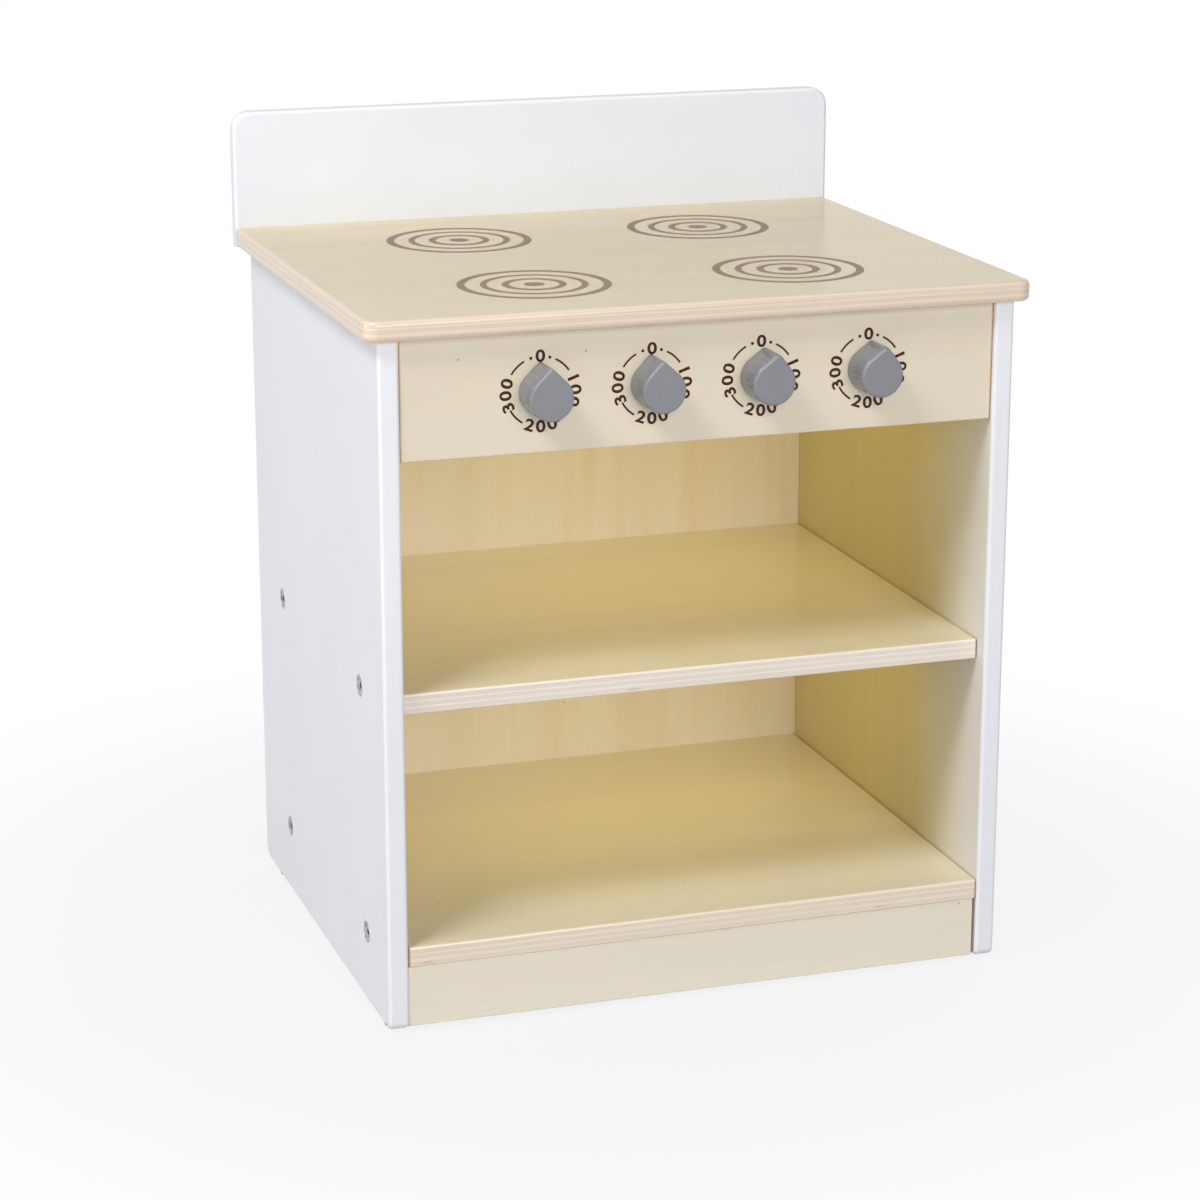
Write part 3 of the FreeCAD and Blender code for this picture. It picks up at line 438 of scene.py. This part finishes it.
def splash_finish():
    """White paint, with painted light: a lighter tone wherever the surface faces up."""
    material, tree, shader = start_finish("splash_paint")
    colour, ripple = painted_surface(tree, spot_on_stove(tree), SPLASH_PAINT)
    # Painted light: surfaces that face up are drawn lighter
    painted_top_light = soft_step(tree, facing(tree, UP), *SPLASH_PAINTED_LIGHT_RANGE)
    plug(tree, shader.inputs["Base Color"], blend(tree, painted_top_light, colour, SPLASH_PAINTED_LIGHT))
    plug(tree, shader.inputs["Roughness"], SPLASH_ROUGHNESS)
    relief(tree, shader, ripple, RIPPLE_RELIEF)
    return material


def worn_paint(tree, spot, paint, bottom):
    """Paint with small nicks down to the wood along the panel's foot."""
    nicks = soft_step(tree, clouds(tree, spot, NICK_SCALE, LESS_DETAIL), *NICK_RANGE)
    foot = soft_step(tree, along(tree, spot, UP), bottom + NICK_TOP, bottom + NICK_BOTTOM)
    worn = work_out(tree, "MULTIPLY", work_out(tree, "MULTIPLY", nicks, foot), NICK_STRENGTH)
    return blend(tree, worn, paint, shade_of(COUNTER_EDGE, NICK_SHADE))


def side_finish(name, node, inward):
    """A side panel: white outside and on its edges; its inner face fades from white in front to birch."""
    material, tree, shader = start_finish(name)
    spot = spot_on_stove(tree)
    low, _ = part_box(node)
    paint, ripple = painted_surface(tree, spot, SIDE_PAINT)
    paint = worn_paint(tree, spot, paint, low[UP])

    veneer, _ = birch_colour(tree, spot, SIDE_BIRCH, UP, ACROSS, SIDE_FIGURE)
    place = along(tree, spot, BACK)
    from_joint = work_out(tree, "SUBTRACT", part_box("back_panel")[0][BACK], place)
    from_joint = work_out(tree, "ABSOLUTE", from_joint)
    # Painted shade, partly stain: a brown line where the back panel meets the side panel
    joint_stain_and_shade = soft_step(tree, from_joint, *BACK_JOINT_STAIN_AND_SHADE_RANGE)
    veneer = blend(tree, work_out(tree, "MULTIPLY", joint_stain_and_shade, BACK_JOINT_STAIN_AND_SHADE_STRENGTH), veneer, STAIN_AND_SHADE_BROWN)

    depth = work_out(tree, "SUBTRACT", place, low[BACK])
    depth = work_out(tree, "MULTIPLY_ADD", clouds(tree, spot, FADE_UNEVEN_SCALE), FADE_UNEVEN, depth)
    white = work_out(tree, "POWER", soft_step(tree, depth, FADE_REACH, 0.0), FADE_POWER)
    turned_in = work_out(tree, "MULTIPLY", facing(tree, ACROSS), inward)
    inner = work_out(tree, "GREATER_THAN", turned_in, INNER_FACE)
    uncovered = work_out(tree, "MULTIPLY_ADD", white, -FADE_STRENGTH, 1.0)
    bare = work_out(tree, "MULTIPLY", inner, uncovered)
    plug(tree, shader.inputs["Base Color"], blend(tree, bare, paint, veneer))
    plug(tree, shader.inputs["Roughness"], SIDE_ROUGHNESS)
    relief(tree, shader, ripple, RIPPLE_RELIEF)
    return material


def knob_finish():
    """Grey satin paint on turned wood, with faint tool marks along the knob's sides."""
    material, tree, shader = start_finish("knob_grey")
    spot = spot_on_stove(tree)
    marks = long_clouds(tree, spot, BACK, MARK_STRETCH, LESS_DETAIL)
    patches = soft_step(tree, clouds(tree, spot, KNOB_PATCH_SCALE, LESS_DETAIL), *PATCH_RANGE)
    colour = blend(tree, patches, KNOB_GREY, shade_of(KNOB_GREY, KNOB_PATCH_SHADE))
    sides = soft_step(tree, work_out(tree, "ABSOLUTE", facing(tree, BACK)), *KNOB_SIDE_RANGE)
    mark = work_out(tree, "MULTIPLY", soft_step(tree, marks, *MARK_RANGE), sides)
    colour = blend(tree, mark, colour, shade_of(KNOB_GREY, MARK_SHADE))
    plug(tree, shader.inputs["Base Color"], colour)
    plug(tree, shader.inputs["Roughness"], KNOB_ROUGHNESS)
    relief(tree, shader, mark, MARK_RELIEF)
    return material


def steel_finish():
    """Zinc plate on the bolts, barrel nuts, screws, nails and cams."""
    material, tree, shader = start_finish("zinc_plate")
    shader.inputs["Metallic"].default_value = 1.0
    spangle = clouds(tree, spot_on_stove(tree), SPANGLE_SCALE)
    colour = blend(tree, soft_step(tree, spangle, *SPANGLE_RANGE), DARK_ZINC, PALE_ZINC)
    plug(tree, shader.inputs["Base Color"], colour)
    roughness = work_out(tree, "MULTIPLY_ADD", spangle, ZINC_UNEVEN, ZINC_ROUGHNESS)
    plug(tree, shader.inputs["Roughness"], roughness)
    return material


def plain_finish(name, tone, roughness, scale):
    """A moulded or turned small part: an uneven tone and a fine surface."""
    material, tree, shader = start_finish(name)
    mottle = clouds(tree, spot_on_stove(tree), scale)
    colour = blend(tree, mottle, shade_of(tone, DARK_MOTTLE), shade_of(tone, PALE_MOTTLE))
    plug(tree, shader.inputs["Base Color"], colour)
    plug(tree, shader.inputs["Roughness"], roughness)
    relief(tree, shader, mottle, MOTTLE_RELIEF)
    return material


def ink_finish(name, ink):
    """Screen-printed ink: nearly even, a little thinner here and there."""
    material, tree, shader = start_finish(name)
    thin = clouds(tree, spot_on_stove(tree), INK_SCALE)
    plug(tree, shader.inputs["Base Color"], blend(tree, thin, ink, shade_of(ink, THIN_INK_SHADE)))
    plug(tree, shader.inputs["Roughness"], INK_ROUGHNESS)
    plug(tree, shader.inputs["Specular IOR Level"], INK_SPECULAR)
    return material


def dress(material, *nodes):
    for node in nodes:
        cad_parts[node].material_slots[0].material = material


def dress_boards():
    dress(splash_finish(), "backsplash")
    dress(side_finish("left_side_white", "left_side_panel", 1.0), "left_side_panel")
    dress(side_finish("right_side_white", "right_side_panel", -1.0), "right_side_panel")
    # Node, face tone, edge tone, axis of the grain, axis through the board, strength of the flames
    boards = (
        ("counter_top", COUNTER_BIRCH, COUNTER_EDGE, ACROSS, UP, 0.25),
        ("control_panel", CONTROL_BIRCH, COUNTER_EDGE, ACROSS, BACK, 0.30),
        ("middle_shelf", SHELF_BIRCH, MIDDLE_EDGE, ACROSS, UP, 0.25),
        ("bottom_shelf", SHELF_BIRCH, BOTTOM_EDGE, ACROSS, UP, 0.25),
        ("toe_board", TOE_BIRCH, BOTTOM_EDGE, ACROSS, BACK, 0.25),
        ("back_panel", BACK_BIRCH, COUNTER_EDGE, UP, BACK, 0.80),
    )
    for board in boards:
        dress(plywood(*board), board[0])


def dress_fittings():
    knob_grey = knob_finish()
    zinc = steel_finish()
    for name in KNOBS:
        dress(knob_grey, f"knob_{name}")
        dress(zinc, f"knob_screw_{name}")
    dress(zinc, "middle_shelf_bolts", "bottom_shelf_bolts", "middle_shelf_barrel_nuts")
    dress(zinc, "bottom_shelf_barrel_nuts", "counter_cam_bolts", "counter_cam_discs")
    dress(zinc, "backsplash_screws", "back_panel_nails", "glide_nails")
    dress(plain_finish("washer_nylon", NYLON_WHITE, roughness=0.45, scale=300.0),
          "knob_front_washers", "knob_rear_washers")
    dress(plain_finish("dowel_beech", DOWEL_BEECH, roughness=0.6, scale=500.0),
          "middle_shelf_dowels", "bottom_shelf_dowels", "control_panel_dowels", "toe_board_dowels",
          "counter_dowels")
    dress(plain_finish("glide_red", GLIDE_RED, roughness=0.35, scale=400.0),
          "glide_front_left", "glide_back_left", "glide_front_right", "glide_back_right")


def inset_disc(radius, width):
    """A disc at the origin with an inset border, left in edit mode with its inner face selected."""
    bpy.ops.mesh.primitive_circle_add(vertices=RING_SIDES, radius=radius, fill_type="NGON")
    bpy.ops.object.mode_set(mode="EDIT")
    bpy.ops.mesh.select_all(action="SELECT")
    bpy.ops.mesh.inset(thickness=width)


def ink_ring(radius, width):
    """A flat ring of ink at the origin: the border of a disc."""
    inset_disc(radius, width)
    bpy.ops.mesh.delete(type="FACE")
    bpy.ops.object.mode_set(mode="OBJECT")
    return bpy.context.object


def ink_dot(radius):
    inset_disc(radius, radius / 2)
    bpy.ops.object.mode_set(mode="OBJECT")
    return bpy.context.object


def select_only(pieces):
    bpy.ops.object.select_all(action="DESELECT")
    for piece in pieces:
        piece.select_set(True)
    bpy.context.view_layer.objects.active = pieces[0]


def print_layer(parts, name, ink):
    """Join flat ink shapes into one print and give it the thickness of the ink."""
    select_only(parts)
    bpy.ops.object.join()
    layer = bpy.context.object
    layer.name = name
    thickness = layer.modifiers.new("ink_thickness", "SOLIDIFY")
    thickness.thickness = INK_DEPTH
    thickness.offset = 1.0
    bpy.ops.object.modifier_apply(modifier="ink_thickness")
    layer.data.materials.clear()
    layer.data.materials.append(ink)
    return layer


def set_down(print_piece, name, place, upright):
    """Put a copy of a print at its place on a board, as a piece of the carcass."""
    select_only([print_piece])
    bpy.ops.object.duplicate(linked=False)
    piece = bpy.context.object
    piece.name = name
    piece.data.name = name
    piece.location = place
    if upright:
        piece.rotation_euler = (math.radians(90), 0.0, 0.0)
    bpy.ops.object.transform_apply(location=True, rotation=True, scale=True)
    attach(piece, CARCASS)


def take_away(piece):
    select_only([piece])
    bpy.ops.object.delete()


def print_burners():
    """Four burners printed on the counter: three rings and a dot each."""
    parts = [ink_ring(radius, width) for radius, width in BURNER_RINGS]
    parts.append(ink_dot(BURNER_DOT))
    burner = print_layer(parts, "burner_pattern", ink_finish("burner_taupe", BURNER_INK))
    low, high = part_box("counter_top")
    for end, setback in BURNER_SETBACKS.items():
        for side, across in (("left", -BURNER_ACROSS), ("right", BURNER_ACROSS)):
            place = (across, low[BACK] + setback, high[UP])
            set_down(burner, f"burner_{end}_{side}", place, False)
    take_away(burner)


def dial_arcs():
    """The dial's thin circle, kept only on its four diagonals."""
    circle = ink_ring(DIAL_RADIUS + DIAL_LINE / 2, DIAL_LINE)
    bpy.ops.object.mode_set(mode="EDIT")
    bpy.ops.mesh.select_mode(type="FACE")
    bpy.ops.mesh.select_all(action="DESELECT")
    bpy.ops.object.mode_set(mode="OBJECT")
    for face in circle.data.polygons:
        clockwise = math.degrees(math.atan2(face.center.x, face.center.y)) % 360
        face.select = all(abs(clockwise - middle) > ARC_SPAN / 2 for middle in DIAL_ARCS)
    bpy.ops.object.mode_set(mode="EDIT")
    bpy.ops.mesh.delete(type="FACE")
    bpy.ops.mesh.select_mode(type="VERT")
    bpy.ops.object.mode_set(mode="OBJECT")
    return circle


def on_dial(angle):
    """A place on the dial's circle, clockwise from its top."""
    return (DIAL_RADIUS * math.sin(angle), DIAL_RADIUS * math.cos(angle), 0.0)


def dial_glyph(glyph, clockwise):
    """One numeral on the dial's circle, upright at the bottom and outward elsewhere."""
    angle = math.radians(clockwise)
    bpy.ops.object.text_add()
    numeral = bpy.context.object
    numeral.data.body = glyph
    numeral.data.size = DIAL_GLYPH
    numeral.data.offset = DIAL_BOLD
    numeral.data.align_x = "CENTER"
    numeral.data.align_y = "CENTER"
    bpy.ops.object.convert(target="MESH")
    numeral = bpy.context.object
    numeral.location = on_dial(angle)
    at_bottom = abs(clockwise - DIAL_BOTTOM) < BOTTOM_REACH
    numeral.rotation_euler = (0.0, 0.0, math.pi - angle if at_bottom else -angle)
    numeral.scale = (DIAL_WIDEN, 1.0, 1.0)
    bpy.ops.object.transform_apply(location=True, rotation=True, scale=True)
    return numeral


def dial_dot(clockwise):
    dot = ink_dot(DIAL_DOT)
    dot.location = on_dial(math.radians(clockwise))
    bpy.ops.object.transform_apply(location=True, rotation=True, scale=True)
    return dot


def print_dials():
    """A dial of plain numbers printed round each knob."""
    parts = [dial_arcs()]
    for clockwise in DOT_ANGLES:
        parts.append(dial_dot(clockwise))
    for middle, number in DIAL_NUMBERS:
        reading = -1 if middle == DIAL_BOTTOM else 1
        for place, glyph in enumerate(number):
            step = (place - (len(number) - 1) / 2) * GLYPH_STEP * reading
            parts.append(dial_glyph(glyph, middle + step))
    dial = print_layer(parts, "dial_pattern", ink_finish("dial_brown", DIAL_INK))
    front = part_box("control_panel")[0][BACK]
    for name in KNOBS:
        low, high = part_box(f"knob_screw_{name}")
        middle = (low + high) / 2
        set_down(dial, f"dial_{name}", (middle[ACROSS], front, middle[UP]), True)
    take_away(dial)


def seen_directly(tree):
    """1 where the camera sees a thing straight, in a reflection or through glass, and 0 for its light."""
    rays = tree.nodes.new("ShaderNodeLightPath").outputs
    seen = work_out(tree, "MAXIMUM", rays["Is Camera Ray"], rays["Is Glossy Ray"])
    return work_out(tree, "MAXIMUM", seen, rays["Is Transmission Ray"])


def floor_finish():
    """A white floor that keeps the stove's shadow and looks white beyond it."""
    material, tree, shader = start_finish("studio_floor")
    plug(tree, shader.inputs["Base Color"], FLOOR_GREY)
    plug(tree, shader.inputs["Roughness"], FLOOR_ROUGHNESS)
    plug(tree, shader.inputs["Specular IOR Level"], 0.0)
    distance = tree.nodes.new("ShaderNodeVectorMath")
    distance.operation = "LENGTH"
    plug(tree, distance.inputs[0], spot_on_stove(tree))
    away = soft_step(tree, distance.outputs["Value"], *SHADOW_RANGE)
    share = work_out(tree, "MULTIPLY_ADD", away, SHADOW_SHARE, 1.0 - SHADOW_SHARE)
    white = tree.nodes.new("ShaderNodeEmission")
    plug(tree, white.inputs["Strength"], 1.0)
    both = tree.nodes.new("ShaderNodeMixShader")
    plug(tree, both.inputs["Fac"], work_out(tree, "MULTIPLY", seen_directly(tree), share))
    tree.links.new(shader.outputs["BSDF"], both.inputs[1])
    tree.links.new(white.outputs["Emission"], both.inputs[2])
    tree.links.new(both.outputs["Shader"], tree.nodes["Material Output"].inputs["Surface"])
    return material


def lay_floor():
    bpy.ops.object.select_all(action="DESELECT")
    bpy.ops.mesh.primitive_plane_add(size=FLOOR_SIZE)
    floor = bpy.context.object
    floor.name = "studio_floor"
    floor.data.materials.append(floor_finish())


def soft_box(name, place, width, height, power, aim=STOVE_MIDDLE, colour=WHITE_LIGHT):
    """A rectangular lamp turned to a point."""
    lamp = bpy.data.lights.new(name, "AREA")
    lamp.shape = "RECTANGLE"
    lamp.size = width
    lamp.size_y = height
    lamp.energy = power
    lamp.color = colour
    light = bpy.data.objects.new(name, lamp)
    bpy.context.scene.collection.objects.link(light)
    light.location = place
    light.visible_camera = False
    light.rotation_mode = "QUATERNION"
    light.rotation_quaternion = (Vector(aim) - Vector(place)).to_track_quat("-Z", "Y")
    return light


def light_studio():
    """Soft boxes high on the left, in front, beside and behind, the boards' glow inside, a white room."""
    for box in SOFT_BOXES:
        soft_box(*box)
    # Its mirror image would be a white glare on the counter's right end
    soft_box(*BACK_LIGHT).visible_glossy = False
    for name, height, power in FILLS:
        place = (*FILL_PLACE, height)
        straight_down = (*FILL_PLACE, 0.0)
        soft_box(name, place, FILL_WIDTH, FILL_DEPTH, power, straight_down, BIRCH_LIGHT)
    world = bpy.data.worlds.new("white_room")
    bpy.context.scene.world = world
    world.use_nodes = True
    tree = world.node_tree
    room = tree.nodes["Background"]
    plug(tree, room.inputs["Color"], ROOM_WHITE)
    strength = work_out(tree, "MULTIPLY_ADD", seen_directly(tree), 1.0 - ROOM_LIGHT, ROOM_LIGHT)
    plug(tree, room.inputs["Strength"], strength)


def set_camera():
    """The photograph's view: from the left front, a little above the counter."""
    camera = bpy.data.cameras.new("camera")
    camera.lens = CAMERA_LENS
    viewer = bpy.data.objects.new("camera", camera)
    bpy.context.scene.collection.objects.link(viewer)
    viewer.location = CAMERA_PLACE
    viewer.rotation_euler = (math.radians(90 - CAMERA_TILT), 0.0, math.radians(CAMERA_TURN))
    bpy.context.scene.camera = viewer


bpy.ops.object.select_all(action="DESELECT")
dress_boards()
dress_fittings()
print_burners()
print_dials()
lay_floor()
light_studio()
set_camera()
bpy.context.scene.view_settings.view_transform = "Standard"
